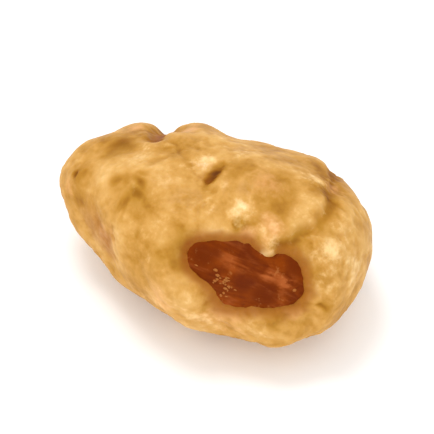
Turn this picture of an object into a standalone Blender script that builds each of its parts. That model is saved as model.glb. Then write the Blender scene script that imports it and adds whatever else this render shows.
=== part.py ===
"""Butter toffee almond: one whole almond kernel in an uneven coat of butter toffee.

Frame: metres, +Z up. +X runs along the nut from its narrow tip to its round end. The origin lies on
the table, under the middle of the coat, and the nut rests on a small flat foot on its underside.
"""

import math
import random

import bmesh
import bpy
from mathutils import Matrix, Vector, noise

MM = 0.001

# Driving dimensions, in millimetres: length, width, thickness.
COAT_SIZE = (26.0, 17.4, 12.7)
KERNEL_SIZE = (22.6, 13.8, 9.5)
KERNEL_SHIFT = (0.3, -0.2, 0.25)  # the coat is thinner on the side of the front window
GAP = 0.3  # between the kernel and the coat around it
FOOT_DEPTH = 0.25  # how much of the coat's underside is worn flat where it rested

# How far the width at the two ends differs from that in the middle, and how blunt the round end is.
COAT_EGG, COAT_BLUNTNESS = 0.15, 0.35
KERNEL_EGG, KERNEL_BLUNTNESS = 0.17, 0.1

# Swells and dents of the coat. "along" runs from -1 at the tip to 1 at the round end, "around" is in
# degrees from the top towards -Y, height and reach are in millimetres, and a dent has a height below 0.
SWELLS = {
    "crown": {"along": 0.24, "around": -6, "height": 0.55, "reach": 3.2},
    "shoulder": {"along": -0.30, "around": 12, "height": 0.45, "reach": 3.4},
    "round_end_top": {"along": 0.72, "around": -22, "height": 0.50, "reach": 2.6},
    "round_end_front": {"along": 0.84, "around": 26, "height": 0.30, "reach": 2.4},
    "front_belly": {"along": -0.30, "around": 66, "height": 0.10, "reach": 3.6},
    "under_window": {"along": 0.76, "around": 112, "height": 0.45, "reach": 2.0},
    "back_knob": {"along": -0.32, "around": -50, "height": 0.32, "reach": 1.6},
    "tip_knob": {"along": -0.62, "around": -48, "height": 0.05, "reach": 1.5},
    "knob_gap": {"along": -0.45, "around": -42, "height": -0.90, "reach": 1.4},
    "behind_crown": {"along": -0.10, "around": -46, "height": -0.50, "reach": 1.6},
    "back_shoulder": {"along": 0.48, "around": -50, "height": 0.40, "reach": 2.2},
    "back_belly": {"along": 0.35, "around": -95, "height": 0.45, "reach": 3.4},
    "valley": {"along": -0.02, "around": 4, "height": -0.45, "reach": 1.5},
    "front_waist": {"along": 0.42, "around": 104, "height": -0.70, "reach": 2.4},
    "front_tuck": {"along": -0.46, "around": 92, "height": -0.75, "reach": 3.0},
    "window_dent": {"along": 0.50, "around": 52, "height": -0.55, "reach": 4.2},
    "back_window_dent": {"along": -0.12, "around": -92, "height": -0.90, "reach": 3.4},
}
RIPPLE_COUNT, RIPPLE_HEIGHT, RIPPLE_REACH = 46, 0.30, 2.1  # smaller swells all over
CREASE_HEIGHT, CREASE_SPACING = 0.45, 5.5  # soft folds, and the distance from one to the next

# Bare patches, where the kernel's skin shows. "turn" is how far the patch's long side is turned from
# the nut's axis, and the outline is in millimetres, in the patch's own plane.
WINDOWS = {
    "front_window": {
        "along": 0.50,
        "around": 52,
        "turn": 19,
        "outline": (
            (-4.6, 0.9), (-4.0, 2.4), (-0.6, 2.5), (1.3, 1.4), (3.1, 2.3), (4.7, 0.9),
            (4.5, -1.2), (3.3, -2.4), (-1.2, -2.5), (-2.4, -1.3), (-3.9, -0.5),
        ),
    },
    "back_window": {
        "along": -0.12,
        "around": -92,
        "turn": -14,
        "outline": (
            (-3.2, 0.1), (-2.3, 1.4), (0.2, 1.0), (1.9, 1.7), (3.2, 0.5),
            (2.2, -1.1), (0.3, -0.8), (-1.7, -1.4),
        ),
    },
}
WINDOW_REACH = 2.8  # how far a window's cutter stands out of the coat and goes into it

COLOURS = {"toffee": (0.64, 0.34, 0.10, 1.0), "skin": (0.24, 0.05, 0.01, 1.0)}


def clear_scene():
    for obj in list(bpy.data.objects):
        bpy.data.objects.remove(obj)


def new_collection(name):
    collection = bpy.data.collections.new(name)
    bpy.context.scene.collection.children.link(collection)
    return collection


def new_material(name, colour, roughness):
    material = bpy.data.materials.new(name)
    material.use_nodes = True
    shader = material.node_tree.nodes["Principled BSDF"]
    shader.inputs["Base Color"].default_value = colour
    shader.inputs["Roughness"].default_value = roughness
    shader.inputs["Metallic"].default_value = 0.0
    return material


def almond_point(direction, size, egg, bluntness):
    """The almond's point for a point of the unit sphere: an egg, blunter towards +X than an ellipse."""
    along, across, up = direction
    power = 2.0 + bluntness * (1.0 + along) / 2.0
    profile = (1.0 - abs(along) ** power) ** (1.0 / power) * (1.0 + egg * along)
    ring = math.hypot(across, up)
    swell = profile / ring if ring > 1e-6 else 0.0
    return Vector((along * size[0], across * swell * size[1], up * swell * size[2])) / 2.0


def direction_at(along, around):
    """The unit vector at this share of the length and this angle, from the top towards -Y."""
    ring = math.sqrt(1.0 - along * along)
    angle = math.radians(around)
    return Vector((along, -ring * math.sin(angle), ring * math.cos(angle)))


def coat_base(direction):
    return almond_point(direction, COAT_SIZE, COAT_EGG, COAT_BLUNTNESS)


def coat_normal(point):
    return Vector([p / (s * s) for p, s in zip(point, COAT_SIZE)]).normalized()


def ripples():
    """Small swells on a spiral over the whole coat, each a little different in place and height."""
    chance = random.Random(7)
    turn = 180.0 * (3.0 - math.sqrt(5.0))
    found = []
    for i in range(RIPPLE_COUNT):
        along = -0.95 + 1.9 * (i + 0.5) / RIPPLE_COUNT
        found.append({
            "along": along + chance.uniform(-0.04, 0.04),
            "around": i * turn + chance.uniform(-14, 14),
            "height": RIPPLE_HEIGHT * chance.uniform(-0.6, 1.0),
            "reach": RIPPLE_REACH * chance.uniform(0.7, 1.2),
        })
    return found


def coat_points(directions):
    """The coat's outer surface, scaled so that its overall size is the stated one."""
    swells = [*SWELLS.values(), *ripples()]
    centres = [coat_base(direction_at(s["along"], s["around"])) for s in swells]
    points = []
    for direction in directions:
        base = coat_base(direction)
        height = CREASE_HEIGHT * abs(noise.noise(base / CREASE_SPACING))
        for swell, centre in zip(swells, centres):
            away = (base - centre).length / swell["reach"]
            height += swell["height"] * math.exp(-away * away)
        points.append(base + coat_normal(base) * height)
    low = [min(p[i] for p in points) for i in range(3)]
    high = [max(p[i] for p in points) for i in range(3)]
    size = (COAT_SIZE[0], COAT_SIZE[1], COAT_SIZE[2] + FOOT_DEPTH)
    return [
        Vector([(p[i] - (low[i] + high[i]) / 2) * size[i] / (high[i] - low[i]) for i in range(3)])
        for p in points
    ]


def sphere_object(name, subdivisions, shape, collection, parent):
    """An icosphere whose points go through shape, which takes and returns a list of vectors in mm."""
    bm = bmesh.new()
    bmesh.ops.create_icosphere(bm, subdivisions=subdivisions, radius=1.0)
    moved = shape([v.co.normalized() for v in bm.verts])
    for vert, point in zip(bm.verts, moved):
        vert.co = point * MM
    mesh = bpy.data.meshes.new(name)
    bm.to_mesh(mesh)
    bm.free()
    mesh.shade_smooth()
    obj = bpy.data.objects.new(name, mesh)
    collection.objects.link(obj)
    obj.parent = parent
    return obj


def make_helper(obj):
    obj.hide_render = True
    obj.display_type = "WIRE"


def cut(obj, cutter):
    modifier = obj.modifiers.new("cut_" + cutter.name, "BOOLEAN")
    modifier.operation = "DIFFERENCE"
    modifier.object = cutter


def make_kernel(collection, parent):
    """The almond itself: pointed at -X, and set off centre in its coat."""

    def shape(directions):
        shift = Vector(KERNEL_SHIFT)
        return [
            almond_point(d, KERNEL_SIZE, KERNEL_EGG, KERNEL_BLUNTNESS) + shift for d in directions
        ]

    return sphere_object("kernel", 4, shape, collection, parent)


def make_kernel_room(kernel, collection):
    """The hollow that the kernel fills: the kernel's own shape, grown by the gap."""
    room = bpy.data.objects.new("kernel_room", kernel.data)
    collection.objects.link(room)
    room.parent = kernel.parent
    grow = room.modifiers.new("grow", "DISPLACE")
    grow.strength = GAP * MM
    grow.mid_level = 0.0
    make_helper(room)
    return room


def make_foot_cutter(collection, parent):
    """A block below the foot's plane, which the coat's underside is cut flat by."""
    foot = -(COAT_SIZE[2] + FOOT_DEPTH) / 2 + FOOT_DEPTH
    depth = 4.0
    bm = bmesh.new()
    bmesh.ops.create_cube(bm, size=1.0)
    bmesh.ops.scale(bm, vec=Vector((COAT_SIZE[0], COAT_SIZE[1], depth)) * MM, verts=bm.verts)
    mesh = bpy.data.meshes.new("foot_cutter")
    bm.to_mesh(mesh)
    bm.free()
    block = bpy.data.objects.new("foot_cutter", mesh)
    collection.objects.link(block)
    block.parent = parent
    block.location.z = (foot - depth / 2) * MM
    make_helper(block)
    return block


def window_matrix(window):
    """The patch's own axes: Z out of the coat, X along the nut but for the turn."""
    centre = coat_base(direction_at(window["along"], window["around"]))
    out = coat_normal(centre)
    side = (Vector((1, 0, 0)) - out * out.x).normalized()
    axes = Matrix((side, out.cross(side), out)).transposed().to_4x4()
    return Matrix.Translation(centre * MM) @ axes @ Matrix.Rotation(math.radians(window["turn"]), 4, "Z")


def make_window_cutter(name, window, collection, parent):
    """A prism with the patch's smooth outline, which goes in as far as the kernel."""
    curve = bpy.data.curves.new(name, "CURVE")
    curve.dimensions = "2D"
    curve.fill_mode = "BOTH"
    curve.extrude = WINDOW_REACH * MM
    curve.resolution_u = 4
    spline = curve.splines.new("NURBS")
    spline.points.add(len(window["outline"]) - 1)
    for point, (x, y) in zip(spline.points, window["outline"]):
        point.co = (x * MM, y * MM, 0.0, 1.0)
    spline.order_u = 3
    spline.use_cyclic_u = True
    outline = bpy.data.objects.new(name + "_outline", curve)
    collection.objects.link(outline)
    bpy.context.view_layer.update()
    evaluated = outline.evaluated_get(bpy.context.evaluated_depsgraph_get())
    mesh = bpy.data.meshes.new_from_object(evaluated)
    bpy.data.objects.remove(outline)
    bm = bmesh.new()
    bm.from_mesh(mesh)
    bmesh.ops.remove_doubles(bm, verts=bm.verts, dist=0.00001)
    bmesh.ops.recalc_face_normals(bm, faces=bm.faces)
    bm.to_mesh(mesh)
    bm.free()
    cutter = bpy.data.objects.new(name, mesh)
    collection.objects.link(cutter)
    cutter.parent = parent
    cutter.matrix_basis = window_matrix(window)
    make_helper(cutter)
    return cutter


def make_coat(collection, parent):
    return sphere_object("toffee_coat", 5, coat_points, collection, parent)


def main():
    clear_scene()
    parts = new_collection("butter_toffee_almond")
    cutters = new_collection("cutters")

    table_point = bpy.data.objects.new("table_point", None)
    parts.objects.link(table_point)
    table_point.location.z = (COAT_SIZE[2] - FOOT_DEPTH) / 2 * MM

    kernel = make_kernel(parts, table_point)
    kernel.data.materials.append(new_material("almond_skin", COLOURS["skin"], 0.45))
    coat = make_coat(parts, table_point)
    coat.data.materials.append(new_material("toffee", COLOURS["toffee"], 0.3))

    cut(coat, make_foot_cutter(cutters, table_point))
    cut(coat, make_kernel_room(kernel, cutters))
    for name, window in WINDOWS.items():
        cut(coat, make_window_cutter(name, window, cutters, table_point))


main()
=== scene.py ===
import math
import random

import bmesh
import bpy
import numpy as np
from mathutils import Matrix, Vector, noise
from mathutils.bvhtree import BVHTree


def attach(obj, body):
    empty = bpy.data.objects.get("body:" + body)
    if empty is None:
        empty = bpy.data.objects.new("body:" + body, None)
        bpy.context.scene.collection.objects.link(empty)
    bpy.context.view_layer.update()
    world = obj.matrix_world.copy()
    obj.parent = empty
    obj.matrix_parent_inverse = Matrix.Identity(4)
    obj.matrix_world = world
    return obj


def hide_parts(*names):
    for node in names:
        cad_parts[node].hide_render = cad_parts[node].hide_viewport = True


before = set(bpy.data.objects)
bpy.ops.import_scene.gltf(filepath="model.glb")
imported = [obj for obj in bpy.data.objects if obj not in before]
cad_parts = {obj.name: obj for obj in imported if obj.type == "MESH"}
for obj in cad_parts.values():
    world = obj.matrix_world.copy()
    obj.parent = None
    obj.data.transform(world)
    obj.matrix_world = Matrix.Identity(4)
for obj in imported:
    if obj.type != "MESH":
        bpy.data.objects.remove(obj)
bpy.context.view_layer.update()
mm = 0.001

scene = bpy.context.scene
scene.view_settings.view_transform = "Standard"  # true colours, with no film look

print("scene: frame loaded")


def linear(red, green, blue):  # screen values from 0 to 255, to the scene's own
    levels = [v / 255 for v in (red, green, blue)]
    return [v / 12.92 if v < 0.04045 else ((v + 0.055) / 1.055) ** 2.4 for v in levels]


class Wire:  # an output socket; sums on it add Math nodes
    def __init__(self, tree, socket):
        self.tree, self.socket = tree, socket

    def math(self, operation, *others):
        return self.tree.math(operation, self, *others)

    def __add__(self, other):
        return self.tree.math("ADD", self, other)

    def __radd__(self, other):
        return self.tree.math("ADD", other, self)

    def __sub__(self, other):
        return self.tree.math("SUBTRACT", self, other)

    def __rsub__(self, other):
        return self.tree.math("SUBTRACT", other, self)

    def __mul__(self, other):
        return self.tree.math("MULTIPLY", self, other)

    def __rmul__(self, other):
        return self.tree.math("MULTIPLY", other, self)

    def __truediv__(self, other):
        return self.tree.math("DIVIDE", self, other)

    def __rtruediv__(self, other):
        return self.tree.math("DIVIDE", other, self)

    def __pow__(self, other):
        return self.tree.math("POWER", self, other)


class Tree:  # a shader tree or a geometry tree
    def __init__(self, nodeTree):
        self.nodeTree = nodeTree

    def node(self, kind, settings=None, sockets=None):
        made = self.nodeTree.nodes.new(kind)
        for name, value in (settings or {}).items():
            if name == "stops":
                self.fillRamp(made.color_ramp, value)
            else:
                setattr(made, name, value)
        for name, value in (sockets or {}).items():
            if isinstance(value, Wire):
                self.nodeTree.links.new(value.socket, made.inputs[name])
            else:
                made.inputs[name].default_value = value
        return made

    def wire(self, kind, settings=None, sockets=None, out=0):
        return Wire(self, self.node(kind, settings, sockets).outputs[out])

    def fillRamp(self, ramp, stops):
        while len(ramp.elements) < len(stops):
            ramp.elements.new(0.5)
        for element, (place, colour) in zip(ramp.elements, stops):
            element.position = place
            element.color = (*colour, 1.0)

    def finish(self, geometry, material):  # the end of a geometry tree
        real = self.wire("GeometryNodeRealizeInstances", {}, {0: geometry})
        painted = self.wire("GeometryNodeSetMaterial", {}, {"Geometry": real, "Material": material})
        self.node("NodeGroupOutput", {}, {0: painted})

    def math(self, operation, *values):
        return self.wire("ShaderNodeMath", {"operation": operation}, dict(enumerate(values)))

    def vector(self, operation, *values):
        return self.wire("ShaderNodeVectorMath", {"operation": operation}, dict(enumerate(values)))

    def scaled(self, vector, factor):
        return self.wire("ShaderNodeVectorMath", {"operation": "SCALE"}, {0: vector, "Scale": factor})

    def split(self, vector):
        parts = self.node("ShaderNodeSeparateXYZ", {}, {0: vector}).outputs
        return [Wire(self, part) for part in parts]

    def noise(self, place, scale, detail=2.0, roughness=0.5, distortion=0.0):
        sockets = {"Vector": place, "Scale": scale, "Detail": detail, "Roughness": roughness}
        return self.wire("ShaderNodeTexNoise", {}, {**sockets, "Distortion": distortion})

    def shake(self, place, scale):  # a vector of noise, from -0.5 to 0.5 each way
        colour = self.wire("ShaderNodeTexNoise", {}, {"Vector": place, "Scale": scale}, out=1)
        return self.vector("SUBTRACT", colour, (0.5, 0.5, 0.5))

    def attribute(self, name):  # what a mesh stores, for a shader
        return self.wire("ShaderNodeAttribute", {"attribute_name": name}, out="Fac")

    def field(self, name):  # the same, for a geometry tree
        return self.wire("GeometryNodeInputNamedAttribute", {"data_type": "FLOAT"}, {"Name": name})

    def store(self, geometry, name, value):
        settings = {"data_type": "FLOAT", "domain": "POINT"}
        sockets = {"Geometry": geometry, "Name": name, "Value": value}
        return self.wire("GeometryNodeStoreNamedAttribute", settings, sockets)

    def moveBy(self, geometry, offset):
        return self.wire("GeometryNodeSetPosition", {}, {"Geometry": geometry, "Offset": offset})

    def raiseBy(self, geometry, height):  # along the surface's own normals
        return self.moveBy(geometry, self.scaled(self.wire("GeometryNodeInputNormal"), height))

    def placeInMm(self):
        return self.scaled(self.wire("GeometryNodeInputPosition"), 1 / mm)

    def step(self, value, low, high):  # 0 below low, 1 above high, and smooth between
        settings = {"interpolation_type": "SMOOTHSTEP"}
        return self.wire("ShaderNodeMapRange", settings, {0: value, 1: low, 2: high, 3: 0.0, 4: 1.0})

    def mix(self, factor, first, second):  # colours
        paints = [c if isinstance(c, Wire) else (*c, 1.0) for c in (first, second)]
        return self.wire(
            "ShaderNodeMix",
            {"data_type": "RGBA", "clamp_factor": True},
            {0: factor, 6: paints[0], 7: paints[1]},
            out=2,
        )


def newGeometryTree(name, inputs):
    group = bpy.data.node_groups.new(name, "GeometryNodeTree")
    group.interface.new_socket(name="Geometry", in_out="INPUT", socket_type="NodeSocketGeometry")
    group.interface.new_socket(name="Geometry", in_out="OUTPUT", socket_type="NodeSocketGeometry")
    for label, value in inputs.items():
        kind = "NodeSocketInt" if isinstance(value, int) else "NodeSocketFloat"
        group.interface.new_socket(name=label, in_out="INPUT", socket_type=kind)
    tree = Tree(group)
    start = tree.node("NodeGroupInput")
    given = {socket.name: Wire(tree, socket) for socket in start.outputs if socket.name}
    return tree, given


def addTree(piece, tree, inputs):
    modifier = piece.modifiers.new(tree.nodeTree.name, "NODES")
    modifier.node_group = tree.nodeTree
    for socket in tree.nodeTree.interface.items_tree:
        if socket.in_out == "INPUT" and socket.name in inputs:
            modifier[socket.identifier] = inputs[socket.name]


def applyAll(piece):  # every modifier, into a plain mesh
    bpy.context.view_layer.update()
    evaluated = piece.evaluated_get(bpy.context.evaluated_depsgraph_get())
    mesh = bpy.data.meshes.new_from_object(evaluated)
    mesh.name = piece.name
    piece.modifiers.clear()
    piece.data = mesh


def newMaterial(name):
    material = bpy.data.materials.new(name)
    material.use_nodes = True
    return material, Tree(material.node_tree), material.node_tree.nodes["Principled BSDF"]


def fillShader(tree, shader, varying, fixed):
    for name, wire in varying.items():
        tree.nodeTree.links.new(wire.socket, shader.inputs[name])
    for name, value in fixed.items():
        shader.inputs[name].default_value = value


def newPiece(name, points, faces, fields=None):
    mesh = bpy.data.meshes.new(name)
    mesh.from_pydata([tuple(p) for p in points * mm], [], faces)
    for label, values in (fields or {}).items():
        stored = mesh.attributes.new(label, "FLOAT", "POINT")
        stored.data.foreach_set("value", values.astype(np.float32))
    mesh.shade_smooth()
    piece = bpy.data.objects.new(name, mesh)
    scene.collection.objects.link(piece)
    return piece


# Sizes in millimetres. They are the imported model's own.
nut = {
    "coatSize": (26.0, 17.4, 12.7),
    "coatEgg": 0.15,
    "coatBluntness": 0.35,
    "kernelSize": (22.6, 13.8, 9.5),
    "kernelEgg": 0.17,
    "kernelBluntness": 0.1,
    "kernelShift": (0.3, -0.2, 0.25),
    "footDepth": 0.25,
    "creaseHeight": 0.45,
    "creaseSpacing": 5.5,
    "creaseRounding": 0.006,
    "rippleCount": 46,
    "rippleHeight": 0.30,
    "rippleReach": 2.1,
    "rippleSeed": 7,
    "noiseSeed": 7,
    "coatFineness": 112,
    "kernelFineness": 80,
    "roomFineness": 44,
}
middle = np.array((0.0, 0.0, (nut["coatSize"][2] - nut["footDepth"]) / 2))
noise.seed_set(nut["noiseSeed"])  # without it noise_vector starts from the clock

# Swells and dents: share of the length, degrees from the top towards the front, height, reach.
swells = (
    (0.24, -6, 0.55, 3.2), (-0.30, 12, 0.45, 3.4), (0.72, -22, 0.50, 2.6), (0.84, 26, 0.30, 2.4),
    (-0.30, 66, 0.10, 3.6), (0.76, 112, 0.45, 2.0), (-0.32, -50, 0.32, 1.6), (-0.62, -48, 0.05, 1.5),
    (-0.45, -42, -0.90, 1.4), (-0.10, -46, -0.50, 1.6), (0.48, -50, 0.40, 2.2), (0.35, -95, 0.45, 3.4),
    (-0.02, 4, -0.45, 1.5), (0.42, 104, -0.70, 2.4), (-0.46, 92, -0.75, 3.0), (0.50, 52, -0.55, 4.2),
    (-0.12, -92, -0.90, 3.4),
)


def cubeSphere(count):  # an even grid on a sphere
    grid = bmesh.new()
    bmesh.ops.create_cube(grid, size=2.0)
    bmesh.ops.subdivide_edges(grid, edges=grid.edges, cuts=count - 1, use_grid_fill=True)
    points = np.array([v.co for v in grid.verts])
    faces = [[v.index for v in f.verts] for f in grid.faces]
    grid.free()
    points = np.tan(points * (math.pi / 4))
    return points / np.linalg.norm(points, axis=1)[:, None], faces


def almondPoints(ways, size, egg, bluntness):
    along = np.clip(ways[:, 0], -1, 1)
    ring = np.hypot(ways[:, 1], ways[:, 2])
    power = 2 + bluntness * (1 + along) / 2
    profile = (1 - np.abs(along) ** power) ** (1 / power) * (1 + egg * along)
    swell = np.where(ring > 1e-6, profile / np.maximum(ring, 1e-6), 0)
    parts = (along * size[0], ways[:, 1] * swell * size[1], ways[:, 2] * swell * size[2])
    return np.column_stack(parts) / 2


def wayAt(along, around):
    ring = math.sqrt(1 - along * along)
    angle = math.radians(around)
    return np.array([[along, -ring * math.sin(angle), ring * math.cos(angle)]])


def coatBase(ways):
    return almondPoints(ways, nut["coatSize"], nut["coatEgg"], nut["coatBluntness"])


def unit(vectors):
    return vectors / np.linalg.norm(vectors, axis=-1)[..., None]


def coatNormals(points):
    return unit(points / np.square(nut["coatSize"]))


def surfacePoint(along, around):
    return coatBase(wayAt(along, around))[0]


def axesAt(along, around, turn):  # a place on the coat, with two ways over it and the way out
    centre = surfacePoint(along, around)
    out = coatNormals(centre)
    side = unit(np.array((1.0, 0.0, 0.0)) - out * out[0])
    up = np.cross(out, side)
    c, s = math.cos(math.radians(turn)), math.sin(math.radians(turn))
    return centre, side * c + up * s, up * c - side * s, out


def ripples():
    chance = random.Random(nut["rippleSeed"])
    turn = 180 * (3 - math.sqrt(5))  # the golden angle, which spreads them evenly
    found = []
    for i in range(nut["rippleCount"]):
        along = -0.95 + 1.9 * (i + 0.5) / nut["rippleCount"] + chance.uniform(-0.04, 0.04)
        around = i * turn + chance.uniform(-14, 14)
        height = nut["rippleHeight"] * chance.uniform(-0.6, 1.0)
        found.append((along, around, height, nut["rippleReach"] * chance.uniform(0.7, 1.2)))
    return found


def coatPoints(ways):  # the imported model's outer surface, before its foot is flattened
    base = coatBase(ways)
    folds = np.array([noise.noise(p) for p in base / nut["creaseSpacing"]])
    height = np.sqrt(folds * folds + nut["creaseRounding"]) * nut["creaseHeight"]
    for along, around, rise, reach in (*swells, *ripples()):
        away = np.linalg.norm(base - surfacePoint(along, around), axis=1) / reach
        height += rise * np.exp(-away * away)
    points = base + coatNormals(base) * height[:, None]
    low, high = points.min(axis=0), points.max(axis=0)
    size = np.array(nut["coatSize"]) + (0, 0, nut["footDepth"])
    return (points - (low + high) / 2) * size / (high - low)


def kernelPoints(ways):
    shape = almondPoints(ways, nut["kernelSize"], nut["kernelEgg"], nut["kernelBluntness"])
    return shape + nut["kernelShift"]


skin = {
    "ridgeHeight": 0.07,
    "wrinkleHeight": 0.05,
    "grainHeight": 0.012,
    "ridgesRound": 6.5,
    "ridgesAlong": 0.09,
    "ridgeSharpness": 3.0,
    "dark": linear(98, 34, 0),
    "brown": linear(130, 55, 2),
    # light: the colour of the painted highlights on the skin's ridges and streaks
    "light": linear(172, 92, 44),
    "dust": linear(200, 136, 76),
    "ridgeShine": 0.35,
    "highlightStrength": 0.75,
    "shadeStrength": 0.85,
    "dusting": 0.2,
    "roughness": 0.46,
    "roughnessSpread": 0.24,
    "bumpStrength": 0.35,
    "bumpDistance": 0.00008,
    "specular": 0.05,
    "glow": 0.08,
    "glowColours": (1.0, 0.35, 0.15),
    "glowDepth": 0.0006,
}

# Painted highlights, painted shade and dusty places on the skin: which, share of the length,
# degrees round, reach, strength.
skinMarks = (
    ("worn", 0.40, 49, 1.0, 0.6), ("worn", 0.52, 50, 0.9, 0.8), ("worn", 0.66, 52, 0.8, 1.0),
    ("worn", 0.78, 54, 0.8, 1.0), ("worn", 0.40, 70, 0.9, 1.0), ("deep", 0.21, 53, 1.3, 1.0),
    ("deep", 0.28, 47, 0.9, 0.8), ("deep", 0.52, 64, 1.0, 0.9), ("deep", 0.68, 74, 1.3, 1.0),
    ("deep", 0.80, 38, 1.1, 0.8), ("worn", -0.05, -90, 1.0, 0.9), ("worn", 0.12, -96, 0.8, 0.7),
    ("deep", -0.28, -96, 1.2, 0.9), ("deep", 0.16, -82, 1.0, 0.7), ("dusty", 0.40, 70, 1.0, 1.0),
    ("dusty", 0.22, 60, 0.8, 0.4), ("dusty", 0.84, 58, 0.7, 0.4), ("dusty", -0.22, -90, 0.9, 0.8),
    ("dusty", 0.10, -98, 0.7, 0.5),
)


def skinTree(material):
    tree, given = newGeometryTree("skinRidges", {"Ridge": 0.0, "Wrinkle": 0.0, "Grain": 0.0})
    place = tree.placeInMm()
    x, y, z = tree.split(place)
    _, width, height = nut["kernelSize"]
    section = {"Y": y / (width / 2), "Z": z / (height / 2)}
    around = tree.vector("NORMALIZE", tree.wire("ShaderNodeCombineXYZ", {}, section))
    along = tree.wire("ShaderNodeCombineXYZ", {}, {"X": x * skin["ridgesAlong"]})
    lengthwise = tree.vector("ADD", tree.scaled(around, skin["ridgesRound"]), along)
    ridges = tree.noise(lengthwise, 1.6, 2.0, 0.55, 0.35)
    ridges = 1.0 - 2.0 * (ridges - 0.5).math("ABSOLUTE")
    wrinkles = tree.noise(tree.vector("MULTIPLY", place, (0.35, 1.0, 1.0)), 1.1, 3.0, 0.55, 0.6) - 0.5
    grain = tree.noise(place, 7.0, 2.0, 0.6) - 0.5
    ridge = ridges ** skin["ridgeSharpness"]
    relief = ridge * given["Ridge"] + wrinkles * given["Wrinkle"] * 2.0 + grain * given["Grain"]
    moved = tree.raiseBy(given["Geometry"], relief * mm)
    tree.finish(tree.store(moved, "ridge", ridge), material)
    return tree


def almondSkin():
    material, tree, shader = newMaterial("almondSkin")
    place = tree.wire("ShaderNodeTexCoord", out="Object")
    ridge, worn, deep = (tree.attribute(name) for name in ("ridge", "worn", "deep"))
    streaks = tree.noise(tree.vector("MULTIPLY", place, (110.0, 900.0, 900.0)), 1.0, 4.0, 0.6, 0.4)
    blotches = tree.noise(place, 420.0, 3.0, 0.6, 0.3)
    specks = tree.noise(place, 2600.0, 2.0, 0.6)
    colour = tree.mix(tree.step(streaks * 0.6 + blotches * 0.4, 0.36, 0.62), skin["dark"], skin["brown"])
    shine = tree.step(ridge * (0.6 + blotches), 0.80, 1.30) * skin["ridgeShine"]
    colour = tree.mix(shine, colour, skin["light"])
    # painted highlight: the skin mixed towards its light colour in streaks, where light would fall on it
    highlightShare = worn * tree.step(streaks + blotches * 0.4, 0.58, 0.84)
    colour = tree.mix(tree.step(highlightShare, 0.05, 1.0) * skin["highlightStrength"], colour, skin["light"])
    # painted shade: the skin darkened at the ends and lower side of the bare patches
    shadeShare = tree.step(deep * (0.2 + streaks * 1.4), 0.2, 0.9) * skin["shadeStrength"]
    colour = tree.mix(shadeShare, colour, skin["dark"])
    dusted = tree.step(specks * blotches + worn * 0.03, 0.36, 0.46) * skin["dusting"]
    colour = tree.mix(dusted, colour, skin["dust"])
    rough = skin["roughness"] + skin["roughnessSpread"] * tree.step(blotches, 0.4, 0.65)
    threads = tree.noise(tree.vector("MULTIPLY", place, (900.0, 3200.0, 3200.0)), 1.0, 3.0, 0.6)
    sockets = {"Strength": skin["bumpStrength"], "Distance": skin["bumpDistance"], "Height": threads}
    bump = tree.wire("ShaderNodeBump", {}, sockets)
    varying = {"Base Color": colour, "Roughness": rough, "Normal": bump}
    fixed = {
        "Specular IOR Level": skin["specular"],
        "Subsurface Weight": skin["glow"],
        "Subsurface Radius": skin["glowColours"],
        "Subsurface Scale": skin["glowDepth"],
    }
    fillShader(tree, shader, varying, fixed)
    return material


print("scene: kernel")
kernelWays, kernelFaces = cubeSphere(nut["kernelFineness"])
smoothKernel = kernelPoints(kernelWays)
kernelSearch = BVHTree.FromPolygons([Vector(p) for p in smoothKernel], kernelFaces)
marks = {name: np.zeros(len(kernelWays)) for name in ("worn", "deep", "dusty")}
for name, along, around, reach, strength in skinMarks:
    away = np.linalg.norm(smoothKernel - kernelPoints(wayAt(along, around)), axis=1) / reach
    marks[name] = np.maximum(marks[name], strength * np.exp(-away * away))
kernel = newPiece("almondKernel", smoothKernel + middle, kernelFaces, marks)
addTree(
    kernel,
    skinTree(almondSkin()),
    {"Ridge": skin["ridgeHeight"], "Wrinkle": skin["wrinkleHeight"], "Grain": skin["grainHeight"]},
)
applyAll(kernel)


# The coat's form, in millimetres.
coatLook = {
    "lipWidth": 1.4,
    "lipVariation": 0.4,
    "lipRounding": 1.7,
    "lipOverlap": 0.04,
    "lipSlope": 2.4,
    "lipDip": 0.4,
    "lipWobble": 0.20,
    "lipWobbleScale": 0.9,
    "leastThickness": 0.45,
    "thicknessSoftness": 0.12,
    "fullThickness": 2.5,
    "footSoftness": 0.12,
    "lumpHeight": 0.30,
    "knobHeight": 0.060,
    "clumpHeight": 0.055,
    "grainHeight": 0.014,
    "bubbleDepth": 0.10,
    "bubblesPerMm": 0.62,
    "bend": 0.45,
    "bendScale": 0.55,
    "smallBend": 0.14,
    "smallBendScale": 1.9,
    "bite": 0.03,
}

# The coat's colours and shine. Each weight says how strongly a pattern lightens or darkens.
toffee = {
    "tones": (
        (0.00, linear(98, 50, 0)),
        (0.20, linear(140, 86, 8)),
        (0.40, linear(174, 122, 40)),
        (0.60, linear(197, 146, 71)),
        (0.80, linear(212, 165, 95)),
        (1.00, linear(227, 186, 122)),
    ),
    "rosy": linear(224, 164, 108),
    "pale": linear(244, 208, 146),
    "olive": linear(170, 126, 40),
    "thin": linear(146, 76, 14),
    "edge": linear(156, 96, 20),
    "middleTone": 0.60,
    "broadWeight": 0.70,
    "blotchWeight": 0.50,
    "fineWeight": 0.30,
    "reliefWeight": 0.35,
    "clumpWeight": 0.12,
    "paleWeight": 0.20,
    "darkWeight": 0.40,
    "pitWeight": 0.32,
    "bubbleWeight": 0.10,
    "roughness": 0.56,
    "glaze": 0.08,
    "paleGlaze": 0.35,
    "glazeRoughness": 0.16,
    "bumpStrength": 0.35,
    "bumpDistance": 0.00005,
    "specular": 0.10,
    "glow": 0.12,
    "glowColours": (1.0, 0.6, 0.25),
    "glowDepth": 0.0006,
}

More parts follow.
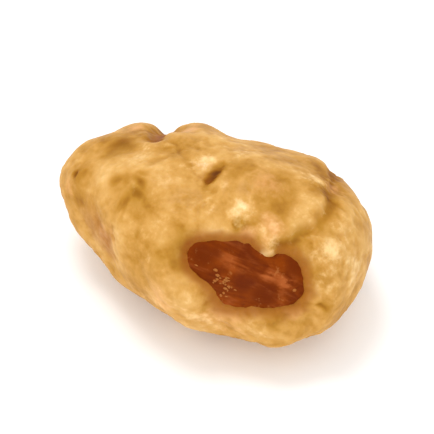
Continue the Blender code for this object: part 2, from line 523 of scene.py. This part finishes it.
# Bare patches: share of the length, degrees round, turn of the patch, and its outline.
windows = (
    (
        0.50, 52, 19,
        ((-4.4, 0.9), (-4.0, 2.2), (-2.2, 2.5), (0.4, 2.4), (1.3, 1.5),
         (2.1, 1.35), (3.0, 1.85), (4.0, 1.3), (4.8, -0.3), (4.4, -2.0),
         (2.6, -2.5), (-0.4, -2.5), (-1.9, -2.2), (-2.4, -0.8), (-3.6, -0.2)),
    ),
    (
        -0.12, -92, -14,
        ((-3.2, 0.1), (-2.3, 1.4), (0.2, 1.0), (1.9, 1.7), (3.2, 0.5),
         (2.2, -1.1), (0.3, -0.8), (-1.7, -1.4)),
    ),
)

# Burst bubbles and holes: share of the length, degrees round, radius, depth, rim.
pits = (
    (-0.82, 34, 0.28, 0.16, 0.03), (-0.76, 26, 0.20, 0.03, 0.01),
    (0.03, -5, 0.42, 0.28, 0.03), (0.04, 0, 0.34, 0.16, 0.02), (0.05, 5, 0.42, 0.32, 0.04),
    (0.33, 22, 0.32, 0.18, 0.06), (0.38, 22, 0.28, 0.16, 0.04), (0.42, 27, 0.24, 0.08, 0.02),
    (0.08, 49, 0.18, 0.08, 0.02),
    (0.95, 78, 0.36, 0.14, 0.02),
    (-0.60, -120, 0.45, 0.22, 0.04), (-0.56, -126, 0.34, 0.16, 0.03), (0.20, -140, 0.40, 0.18, 0.04),
    (0.55, -64, 0.44, 0.20, 0.05), (0.59, -70, 0.36, 0.16, 0.03), (-0.25, -66, 0.34, 0.14, 0.03),
    (0.72, -118, 0.38, 0.18, 0.04), (-0.55, 118, 0.34, 0.16, 0.04), (0.40, 128, 0.40, 0.16, 0.04),
)

# Soft valleys between the flows of toffee: depth, width, darkness of the painted shade along each, and
# where each runs.
valleys = (
    (0.12, 0.26, 0.30, ((-0.43, -20), (-0.30, -12), (-0.18, -4), (-0.10, 2), (0.02, 5))),
    (0.12, 0.70, 0.20, ((0.04, 4), (0.08, 13), (0.08, 24), (0.10, 36), (0.08, 46))),
    (0.36, 0.70, 0.85, ((0.52, -60), (0.62, -42), (0.70, -22), (0.74, -9), (0.73, 1), (0.70, 11))),
    (0.24, 0.55, 1.00, ((0.71, 9), (0.67, 17), (0.62, 24))),
    (0.12, 0.70, 0.25, ((-0.32, -4), (-0.35, 5), (-0.48, 3), (-0.62, 0), (-0.78, 4))),
    (0.85, 0.90, 0.80, ((-0.47, -22), (-0.50, -36), (-0.52, -50), (-0.54, -66))),
    (0.12, 0.60, 0.25, ((0.95, 68), (0.90, 74), (0.78, 78), (0.62, 84))),
    (0.14, 0.60, 0.25, ((-0.62, 52), (-0.50, 70), (-0.42, 92), (-0.45, 115))),
    (0.22, 0.60, 0.45, ((-0.70, -70), (-0.52, -84), (-0.48, -110), (-0.30, -132), (-0.05, -140))),
    (0.20, 0.60, 0.40, ((0.18, -60), (0.26, -84), (0.22, -108), (0.36, -128), (0.60, -136))),
    (0.18, 0.55, 0.40, ((0.78, -60), (0.84, -90), (0.80, -125), (0.84, -165))),
    (0.16, 0.60, 0.35, ((0.02, 112), (0.20, 132), (0.16, 160))),
)

# Ridges and drips that stand out: share of the length, degrees round, height, reach along, reach
# across, turn.
drips = (
    (0.43, -2, 0.45, 3.5, 3.2, 0), (-0.58, 78, -0.85, 3.4, 2.4, 0), (-0.08, -4, 0.08, 0.8, 0.6, 30),
    (0.12, 5, 0.10, 0.40, 0.8, 10),
    (0.34, 17, 0.12, 1.0, 0.6, -25), (0.43, 23, 0.10, 0.9, 0.7, 0), (0.56, 30, 0.34, 1.1, 0.8, -35),
    (0.58, -24, 0.10, 1.2, 0.6, 80), (0.64, -8, 0.14, 0.6, 1.1, 10), (0.84, 12, 0.20, 1.3, 1.2, 20),
    (0.80, -12, 0.18, 1.0, 1.2, 10), (0.16, 84, 0.14, 2.0, 0.8, 10),
    (-0.32, 46, 0.10, 1.2, 1.0, 0), (0.56, 84, 0.14, 1.8, 0.7, 0), (-0.20, -110, 0.20, 1.4, 0.7, 20),
    (0.40, -112, 0.22, 1.2, 0.8, -30), (-0.62, -88, 0.16, 0.9, 0.8, 0), (0.60, -92, 0.20, 1.5, 0.7, 35),
)

# Stains: which, share of the length, degrees round, reach, strength. Some of the dark ones are painted
# shade in valleys and on the dome, and some of the pale ones are painted highlights on rims and round
# pits and drips.
stains = (
    ("dark", -0.48, 27, 0.8, 1.1), ("dark", -0.44, 29, 1.5, 0.6), ("dark", -0.32, 17, 0.5, 1.0),
    ("dark", -0.32, 23, 0.7, 1.2), ("dark", -0.33, 29, 0.7, 1.1), ("dark", -0.37, 35, 1.0, 0.8),
    ("dark", -0.79, 30, 1.0, 0.75), ("dark", -0.64, -2, 1.5, 0.9), ("dark", -0.76, -12, 1.0, 0.6),
    ("dark", -0.50, -34, 1.0, 1.0), ("dark", 0.18, -2, 1.1, 0.5), ("dark", 0.65, -22, 1.3, 0.8),
    ("dark", 0.74, -4, 1.2, 0.7), ("dark", 0.53, 10, 1.5, 0.45), ("dark", 0.38, -2, 1.7, 0.45),
    ("dark", 0.62, -36, 1.3, 1.0), ("dark", 0.66, 19, 0.7, 1.1),
    ("dark", 0.61, 25, 0.6, 0.9), ("dark", 0.69, -20, 1.1, 1.0),
    ("dark", 0.08, 46, 0.9, 0.5), ("dark", 0.10, 58, 0.9, 0.5), ("dark", 0.95, 79, 0.6, 0.6),
    ("dark", 0.04, 1, 0.7, 1.1), ("dark", -0.70, 60, 1.2, 0.4), ("dark", 0.72, 92, 1.3, 0.45),
    ("dark", 0.55, 90, 1.2, 0.4), ("dark", -0.15, 96, 1.3, 0.4), ("dark", -0.86, 10, 1.0, 0.4),
    ("dark", -0.66, -108, 1.6, 0.8), ("dark", -0.30, -134, 1.8, 0.8), ("dark", 0.24, -92, 1.4, 0.8),
    ("dark", 0.62, -134, 1.8, 0.8), ("dark", 0.86, -98, 1.3, 0.8), ("dark", -0.42, 112, 1.5, 0.7),
    ("dark", -0.20, -72, 1.2, 0.6), ("dark", 0.30, 140, 1.8, 0.6), ("dark", 0.80, 160, 1.8, 0.6),
    ("pale", -0.08, -5, 0.8, 1.1), ("pale", 0.16, 6, 0.6, 0.5), ("pale", 0.29, 17, 0.85, 1.0),
    ("pale", 0.37, 17, 0.6, 0.6), ("pale", 0.46, 23, 0.7, 0.55),
    ("pale", 0.51, 17, 0.7, 0.6), ("dark", 0.42, 27, 0.5, 0.5), ("pale", 0.57, 27, 0.9, 1.0),
    ("pale", 0.58, 32, 0.8, 1.1), ("pale", 0.14, 22, 0.8, 0.7),
    ("pale", 0.56, -24, 1.1, 0.55), ("pale", 0.63, 4, 1.0, 0.5), ("pale", 0.62, -8, 0.9, 0.4),
    ("pale", 0.98, 0, 1.8, 0.6), ("pale", 0.95, -70, 1.8, 0.5), ("pale", 0.83, -8, 1.0, 0.7),
    ("pale", 0.84, 14, 1.2, 1.0), ("pale", 0.90, 34, 1.3, 0.6),
    ("pale", -0.06, 100, 1.4, 0.5), ("pale", -0.21, 15, 1.6, 0.35), ("pale", -0.04, 40, 1.5, 0.3),
    ("pale", -0.20, 60, 1.6, 0.35), ("pale", 0.16, 86, 1.4, 0.6), ("pale", -0.45, 4, 1.2, 0.5),
    ("pale", 0.05, -22, 1.2, 0.5), ("pale", 0.28, -110, 1.6, 0.7), ("pale", -0.45, -95, 1.5, 0.7),
    ("pale", 0.66, -88, 1.5, 0.7), ("pale", -0.10, -120, 1.6, 0.6), ("pale", 0.10, 125, 1.8, 0.5),
    ("rosy", -0.66, -34, 1.0, 0.9), ("rosy", -0.33, -40, 1.0, 0.9), ("rosy", 0.51, 18, 1.0, 1.0),
    ("rosy", 0.53, 26, 1.0, 0.8),
    ("rosy", 0.42, 26, 0.8, 1.0), ("rosy", 0.05, 92, 2.2, 0.7),
    ("rosy", 0.45, 98, 2.4, 0.8), ("pale", 0.30, 104, 1.8, 0.6), ("pale", 0.62, 100, 1.6, 0.5),
    ("rosy", -0.48, 69, 1.6, 0.8), ("rosy", 0.38, -3, 1.7, 0.7),
    ("rosy", 0.84, 82, 1.2, 0.8), ("rosy", 0.66, -36, 1.0, 0.8), ("rosy", -0.84, 52, 1.0, 0.6),
    ("rosy", -0.05, -100, 1.8, 0.6), ("rosy", 0.5, -125, 1.6, 0.6),
    ("olive", 0.08, 45, 1.6, 0.9), ("olive", -0.02, 58, 1.3, 0.6), ("olive", 0.78, 3, 1.1, 0.7),
    ("olive", -0.60, 2, 1.4, 0.8), ("olive", 0.68, 12, 1.0, 0.7), ("olive", 0.35, 22, 0.6, 1.1),
    ("olive", -0.30, 32, 1.4, 0.6), ("olive", -0.4, -120, 1.8, 0.7), ("olive", 0.42, -90, 1.6, 0.7),
)


def smoothOutline(corners, steps=8):
    corners = np.array(corners)
    before = (np.roll(corners, 1, axis=0) + corners) / 2
    after = (np.roll(corners, -1, axis=0) + corners) / 2
    found = []
    for a, b, c in zip(before, corners, after):
        for i in range(steps):
            t = i / steps
            found.append(a * (1 - t) ** 2 + b * 2 * t * (1 - t) + c * t * t)
    return np.array(found)


def lineDistance(points, a, b):
    span = b - a
    share = np.clip(((points - a) @ span) / (span @ span), 0, 1)
    return np.linalg.norm(points - a - share[:, None] * span, axis=1)


def outlineDistance(places, outline):  # below 0 inside
    ends = np.roll(outline, -1, axis=0)
    inside = np.zeros(len(places), bool)
    nearest = np.full(len(places), np.inf)
    for a, b in zip(outline, ends):
        nearest = np.minimum(nearest, lineDistance(places, a, b))
        span = b - a
        crosses = (a[1] > places[:, 1]) != (b[1] > places[:, 1])
        with np.errstate(divide="ignore", invalid="ignore"):
            where = a[0] + (places[:, 1] - a[1]) * span[0] / span[1]
        inside ^= crosses & (places[:, 0] < where)
    return np.where(inside, -nearest, nearest)


def smoothStep(values, low, high):
    share = np.clip((values - low) / (high - low), 0, 1)
    return share * share * (3 - 2 * share)


def nearLine(points, path, width):  # 1 on a line over the surface, and falling to 0 beside it
    corners = [surfacePoint(along, around) for along, around in path]
    nearest = np.full(len(points), np.inf)
    for a, b in zip(corners, corners[1:]):
        nearest = np.minimum(nearest, lineDistance(points, a, b))
    return np.exp(-((nearest / width) ** 2))


def noiseVectors(points, scale):
    return np.array([noise.noise_vector(Vector(p) * scale) for p in points])


print("scene: toffee coat")
ways, coatFaces = cubeSphere(nut["coatFineness"])
base = coatBase(ways)
coat = coatPoints(ways)
normals = coatNormals(base)
bent = base + coatLook["bend"] * noiseVectors(base, coatLook["bendScale"])
bent = bent + coatLook["smallBend"] * noiseVectors(base, coatLook["smallBendScale"])
fields = {name: np.zeros(len(ways)) for name in ("dark", "pale", "rosy", "olive", "pit", "lip")}

for depth, width, darkness, path in valleys:
    near = nearLine(bent, path, width)
    coat -= normals * (depth * near)[:, None]
    # painted shade along the valleys, kept in the dark field that also holds the stains
    fields["dark"] = np.maximum(fields["dark"], darkness * near)

for along, around, height, longReach, crossReach, turn in drips:
    centre, side, up, out = axesAt(along, around, turn)
    away = bent - centre
    spread = (away @ side / longReach) ** 2 + (away @ up / crossReach) ** 2 + (away @ out / 3) ** 2
    coat += normals * (height / (1 + spread**2))[:, None]

for along, around, radius, depth, rim in pits:
    reach = np.linalg.norm(bent - surfacePoint(along, around), axis=1) / radius
    hollow = np.exp(-(reach**3))
    coat -= normals * (depth * hollow - rim * np.exp(-(((reach - 1.5) / 0.5) ** 2)))[:, None]
    # the pit field marks where painted shade darkens the hollows
    fields["pit"] = np.maximum(fields["pit"], np.exp(-((reach * 0.75) ** 3)) * min(1, depth / 0.2))

for name, along, around, reach, strength in stains:
    away = np.linalg.norm(bent - surfacePoint(along, around), axis=1) / reach
    fields[name] = np.maximum(fields[name], strength * np.exp(-away * away))

# away from the bare patches, the coat never gets thinner over the kernel than its least thickness
thickness = np.zeros(len(ways))
nearest = np.zeros_like(coat)
least, softness = coatLook["leastThickness"], coatLook["thicknessSoftness"]
for i, point in enumerate(coat):
    found, outwards, _, gap = kernelSearch.find_nearest(Vector(point))
    depth = (Vector(point) - found).dot(outwards)
    spare = (depth - least) / softness
    full = least + softness * math.log1p(math.exp(min(spare, 40)))
    if spare < 5:
        coat[i] = found + outwards * full
    nearest[i], thickness[i] = found, full if spare < 5 else gap

# at the bare patches it comes down in a rounded lip and ends a little inside the kernel
for along, around, turn, corners in windows:
    centre, side, up, out = axesAt(along, around, turn)
    away = nearest - centre
    near = (away @ out > -6) & (np.linalg.norm(away, axis=1) < 9)
    places = np.column_stack((away[near] @ side, away[near] @ up))
    gap = outlineDistance(places, smoothOutline(corners))
    wobble = [noise.fractal(p * coatLook["lipWobbleScale"], 1.0, 2.0, 2) for p in base[near]]
    gap += coatLook["lipWobble"] * np.array(wobble)
    change = coatLook["lipVariation"] * noiseVectors(base[near] + 5, 0.45)[:, 0]
    width = coatLook["lipWidth"] * (1 + change)
    past = gap + coatLook["lipOverlap"]
    rise = 1 - (1 - np.clip(past / width, 0, 1)) ** coatLook["lipRounding"]
    sunk = np.clip(past * coatLook["lipSlope"], -coatLook["lipDip"], 0)
    height = np.where(past > 0, thickness[near] * rise, sunk)
    outward = unit(coat[near] - nearest[near])
    coat[near] = nearest[near] + outward * height[:, None]
    fields["lip"][near] = np.maximum(fields["lip"][near], 1 - smoothStep(gap, 0.0, width * 0.9))
    thickness[near] = np.clip(height, 0, None)

floorHeight = -middle[2]
softness = coatLook["footSoftness"]
below = coat[:, 2] - floorHeight
coat[:, 2] = floorHeight + softness * np.logaddexp(0, below / softness)
fields["thickness"] = thickness / coatLook["fullThickness"]
toffeeCoat = newPiece("toffeeCoat", coat + middle, coatFaces, fields)


def toffeeTree(material):
    inputs = {"Lump": 0.0, "Knob": 0.0, "Clump": 0.0, "Grain": 0.0, "Bubble": 0.0}
    tree, given = newGeometryTree("toffeeRelief", inputs)
    place = tree.placeInMm()
    x, _, z = tree.split(place)
    bent = tree.vector("ADD", place, tree.scaled(tree.shake(place, 0.22), 3.0))
    lumps = tree.noise(bent, 0.30, 1.0, 0.4) - 0.5
    knobs = tree.noise(bent, 0.85, 1.5, 0.45) - 0.5
    roundEnd = tree.step(x, 5.0, 11.0)
    grainMask = tree.step(tree.noise(place, 0.28, 1.0) + roundEnd * 0.12, 0.44, 0.64)
    clumps = tree.step(tree.noise(bent, 1.25, 2.0, 0.5), 0.38, 0.62) - 0.5
    clumps = clumps * (0.3 + 0.7 * grainMask)
    grain = (tree.noise(place, 3.4, 3.0, 0.6) - 0.5) * (0.35 + grainMask)
    shaken = tree.vector("ADD", place, tree.scaled(tree.shake(place, 1.6), 0.55))
    sockets = {"Vector": shaken, "Scale": coatLook["bubblesPerMm"], "Randomness": 1.0}
    cells = tree.node("ShaderNodeTexVoronoi", {"feature": "F1"}, sockets)
    lotA, lotB, _ = tree.split(Wire(tree, cells.outputs["Color"]))
    distance = Wire(tree, cells.outputs["Distance"]) / coatLook["bubblesPerMm"]
    radius = 0.12 + 0.26 * lotB * lotB
    chosen = tree.step(lotA, 0.78, 0.82)  # about one cell in five holds a bubble
    reach = distance / radius
    bubbles = (1.0 - tree.step(reach, 0.35, 1.1)) * chosen
    rims = tree.step(reach, 0.8, 1.25) * (1.0 - tree.step(reach, 1.3, 2.1)) * chosen
    quiet = 1.0 - tree.field("lip") * 0.6  # calmer at the lips
    aboveFoot = tree.step(z, 0.02, 0.9)  # and flat at the foot
    bubbleDepth = bubbles * given["Bubble"] * (0.4 + lotB)
    relief = (
        lumps * given["Lump"]
        + knobs * given["Knob"] * 2.0
        + clumps * given["Clump"]
        + grain * given["Grain"] * 2.0
        - bubbleDepth
        + rims * given["Bubble"] * 0.2
    ) * quiet * aboveFoot
    moved = tree.raiseBy(given["Geometry"], relief * mm)
    moved = tree.store(moved, "relief", lumps + knobs * 0.8)
    moved = tree.store(moved, "bubble", bubbles)
    moved = tree.store(moved, "clump", clumps)
    moved = tree.store(moved, "grainy", grainMask)
    tree.finish(moved, material)
    return tree


def butterToffee():
    material, tree, shader = newMaterial("butterToffee")
    place = tree.wire("ShaderNodeTexCoord", out="Object")
    dark, pale, rosy, olive = (tree.attribute(name) for name in ("dark", "pale", "rosy", "olive"))
    pit, lip, thickness = (tree.attribute(name) for name in ("pit", "lip", "thickness"))
    relief, bubble = tree.attribute("relief"), tree.attribute("bubble")
    clump, grainy = tree.attribute("clump"), tree.attribute("grainy")
    broad = tree.noise(place, 240.0, 2.0, 0.5, 0.3) - 0.5
    blotch = tree.noise(place, 620.0, 3.0, 0.55, 0.15) - 0.5
    fine = tree.noise(place, 1900.0, 3.0, 0.6) - 0.5
    ragged = blotch * 1.1 + fine * 0.5

    tone = toffee["middleTone"] + broad * toffee["broadWeight"] + blotch * toffee["blotchWeight"]
    tone = tone + fine * toffee["fineWeight"] + relief * toffee["reliefWeight"]
    tone = tone + clump * toffee["clumpWeight"] + pale * (toffee["paleWeight"] + ragged * 0.3)
    tone = tone - dark * (toffee["darkWeight"] + ragged * 0.6)
    # painted shade inside the pits and bubbles
    tone = tone - pit * toffee["pitWeight"] - bubble * toffee["bubbleWeight"]
    ramp = tree.node("ShaderNodeValToRGB", {"stops": toffee["tones"]}, {0: tone})
    colour = Wire(tree, ramp.outputs["Color"])

    rosyShare = tree.step(rosy + ragged * 1.2, 0.2, 1.1) * 0.6
    colour = tree.mix(rosyShare, colour, toffee["rosy"])
    # pale: cream toffee, and in places painted highlights
    paleShare = tree.step(pale + ragged * 1.6 + fine * 0.8, 0.30, 1.40) * 0.75
    colour = tree.mix(paleShare, colour, toffee["pale"])
    oliveShare = tree.step(olive + ragged * 0.8, 0.2, 1.0) * 0.35
    colour = tree.mix(oliveShare, colour, toffee["olive"])

    # the skin shows through where the coat is thin, but less where the coat is pale
    creamAndHighlight = tree.step(pale, 0.3, 0.9)
    thinShare = 1.0 - tree.step(thickness + ragged * 0.10, 0.02, 0.36)
    colour = tree.mix(thinShare * (0.85 - 0.65 * creamAndHighlight), colour, toffee["thin"])
    # edge: brown at the lips, partly thin toffee over the skin and partly painted shadow under the lip
    edgeShare = tree.step(lip + ragged * 0.9, 0.60, 1.15)
    colour = tree.mix(edgeShare * (0.8 - 0.5 * creamAndHighlight), colour, toffee["edge"])

    rough = toffee["roughness"] + 0.5 * blotch + 0.08 * grainy - 0.16 * pale
    grain = tree.noise(place, 5200.0, 3.0, 0.6) * 0.6 + fine * 0.8
    sockets = {"Strength": toffee["bumpStrength"], "Distance": toffee["bumpDistance"], "Height": grain}
    bump = tree.wire("ShaderNodeBump", {}, sockets)
    glaze = toffee["glaze"] + tree.step(pale + blotch, 0.35, 0.95) * toffee["paleGlaze"]
    glaze = glaze * (1.0 - tree.step(pit + dark * 0.6, 0.1, 0.6))  # pits and stains stay dull
    varying = {"Base Color": colour, "Roughness": rough, "Normal": bump, "Coat Weight": glaze}
    fixed = {
        "Coat Roughness": toffee["glazeRoughness"],
        "Specular IOR Level": toffee["specular"],
        "Subsurface Weight": toffee["glow"],
        "Subsurface Radius": toffee["glowColours"],
        "Subsurface Scale": toffee["glowDepth"],
    }
    fillShader(tree, shader, varying, fixed)
    return material


addTree(
    toffeeCoat,
    toffeeTree(butterToffee()),
    {
        "Lump": coatLook["lumpHeight"],
        "Knob": coatLook["knobHeight"],
        "Clump": coatLook["clumpHeight"],
        "Grain": coatLook["grainHeight"],
        "Bubble": coatLook["bubbleDepth"],
    },
)
applyAll(toffeeCoat)


def triangulate(piece):
    grid = bmesh.new()
    grid.from_mesh(piece.data)
    bmesh.ops.triangulate(grid, faces=grid.faces)
    grid.to_mesh(piece.data)
    grid.free()


def keepLargest(piece):  # a cut can leave folded slivers and specks behind
    grid = bmesh.new()
    grid.from_mesh(piece.data)
    bmesh.ops.dissolve_degenerate(grid, dist=1e-7, edges=grid.edges)
    bmesh.ops.triangulate(grid, faces=grid.faces)
    waiting = set(grid.verts)
    islands = []
    while waiting:
        island, reached = [], [waiting.pop()]
        while reached:
            corner = reached.pop()
            island.append(corner)
            for link in corner.link_edges:
                other = link.other_vert(corner)
                if other in waiting:
                    waiting.discard(other)
                    reached.append(other)
        islands.append(island)
    islands.sort(key=len)
    for island in islands[:-1]:
        bmesh.ops.delete(grid, geom=island, context="VERTS")
    grid.to_mesh(piece.data)
    grid.free()
    return len(islands) - 1


# the kernel's room is cut out, which leaves the coat a true shell that is open at the bare patches
roomWays, roomFaces = cubeSphere(nut["roomFineness"])
roomPoints = kernelPoints(roomWays) - coatNormals(roomWays) * coatLook["bite"] + middle
room = newPiece("kernelRoom", roomPoints, roomFaces, {"lip": np.ones(len(roomWays))})
triangulate(toffeeCoat)
triangulate(room)
cut = toffeeCoat.modifiers.new("hollow", "BOOLEAN")
cut.operation = "DIFFERENCE"
cut.solver = "MANIFOLD"
cut.object = room
applyAll(toffeeCoat)
bpy.data.objects.remove(room)
specks = keepLargest(toffeeCoat)
toffeeCoat.data.shade_smooth()
print("scene: coat has", len(toffeeCoat.data.polygons), "faces, with", specks, "specks removed")


# Grains of toffee that lie loose on the bare skin, in millimetres.
crumbLook = {
    "perMm2": 11.0,
    "size": 0.12,
    "roughness": 0.8,
    "smallest": (0.3, 0.3, 0.2),
    "largest": (1.7, 1.2, 0.7),
    "rosy": 1.1,
    "dark": 0.25,
    "seed": 5,
}


def crumbTree(material):
    inputs = {"PerMm2": 0.0, "Size": 0.0, "Seed": 1}
    tree, given = newGeometryTree("toffeeCrumbs", inputs)
    density = tree.step(tree.field("dusty"), 0.2, 1.0) * given["PerMm2"] / mm / mm
    spread = tree.node(
        "GeometryNodeDistributePointsOnFaces",
        {"distribute_method": "RANDOM"},
        {"Mesh": given["Geometry"], "Density": density, "Seed": given["Seed"]},
    )
    crumb = tree.wire("GeometryNodeMeshIcoSphere", {}, {"Radius": given["Size"] * mm, "Subdivisions": 2})
    rough = tree.shake(tree.placeInMm(), 9.0)
    crumb = tree.moveBy(crumb, tree.scaled(rough, given["Size"] * crumbLook["roughness"] * mm))
    crumb = tree.store(crumb, "rosy", crumbLook["rosy"])
    crumb = tree.store(crumb, "dark", crumbLook["dark"])
    size = tree.wire(
        "FunctionNodeRandomValue",
        {"data_type": "FLOAT_VECTOR"},
        {"Min": crumbLook["smallest"], "Max": crumbLook["largest"], "Seed": given["Seed"]},
    )
    placed = tree.wire(
        "GeometryNodeInstanceOnPoints",
        {},
        {
            "Points": Wire(tree, spread.outputs["Points"]),
            "Instance": crumb,
            "Rotation": Wire(tree, spread.outputs["Rotation"]),
            "Scale": size,
        },
    )
    tree.finish(placed, material)
    return tree


crumbs = bpy.data.objects.new("toffeeCrumbs", kernel.data.copy())
scene.collection.objects.link(crumbs)
addTree(
    crumbs,
    crumbTree(toffeeCoat.data.materials[0]),
    {"PerMm2": crumbLook["perMm2"], "Size": crumbLook["size"], "Seed": crumbLook["seed"]},
)
applyAll(crumbs)
crumbs.data.shade_smooth()
print("scene: crumbs have", len(crumbs.data.polygons), "faces")

finished = (
    (kernel, "kernel", "almond_skin"),
    (toffeeCoat, "toffee_coat", "toffee"),
    (crumbs, "toffee_coat", "toffee"),
)
for piece, node, slotName in finished:
    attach(piece, "root")
    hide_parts(node)

studio = {
    "floorSize": 1.6,
    "floorColour": (0.96, 0.96, 0.96),
    "floorRoughness": 0.7,
    "skyStrength": 1.06,
    "keyPlace": (-0.16, 0.08, 0.48),
    "keySize": 0.20,
    "keyPower": 0.78,
    "fillPlace": (0.16, -0.46, 0.24),
    "fillSize": 0.30,
    "fillPower": 0.55,
    "lightAim": (0, 0, 0.005),
    "lens": 250.0,
    "nearClip": 0.005,
    "azimuth": 29.0,
    "elevation": 48.0,
    "frameWidth": 0.0340,
    "aim": (0.000336, 0.000635, 0.0063),
}

print("scene: studio")
bpy.ops.mesh.primitive_plane_add(size=studio["floorSize"])
floor = bpy.context.object
floor.name = "floor"
floorPaint, floorTree, floorShader = newMaterial("paleFloor")
floorLook = {"Base Color": (*studio["floorColour"], 1), "Roughness": studio["floorRoughness"]}
fillShader(floorTree, floorShader, {}, floorLook)
floor.data.materials.append(floorPaint)

world = bpy.data.worlds.new("sky")
world.use_nodes = True
world.node_tree.nodes["Background"].inputs["Color"].default_value = (1.0, 1.0, 1.0, 1.0)
world.node_tree.nodes["Background"].inputs["Strength"].default_value = studio["skyStrength"]
scene.world = world


def softLight(name, place, size, power):
    light = bpy.data.lights.new(name, "AREA")
    light.shape = "DISK"
    light.size = size
    light.energy = power
    lamp = bpy.data.objects.new(name, light)
    scene.collection.objects.link(lamp)
    lamp.location = place
    towards = Vector(studio["lightAim"]) - Vector(place)
    lamp.rotation_euler = towards.to_track_quat("-Z", "Y").to_euler()


softLight("keyLight", studio["keyPlace"], studio["keySize"], studio["keyPower"])
softLight("fillLight", studio["fillPlace"], studio["fillSize"], studio["fillPower"])

lensData = bpy.data.cameras.new("camera")
lensData.lens = studio["lens"]
lensData.clip_start = studio["nearClip"]
camera = bpy.data.objects.new("camera", lensData)
scene.collection.objects.link(camera)
azimuth, elevation = math.radians(studio["azimuth"]), math.radians(studio["elevation"])
back = Vector(
    (
        math.sin(azimuth) * math.cos(elevation),
        -math.cos(azimuth) * math.cos(elevation),
        math.sin(elevation),
    )
)
distance = studio["frameWidth"] * studio["lens"] / lensData.sensor_width
camera.location = Vector(studio["aim"]) + back * distance
camera.rotation_euler = back.to_track_quat("Z", "Y").to_euler()
scene.camera = camera
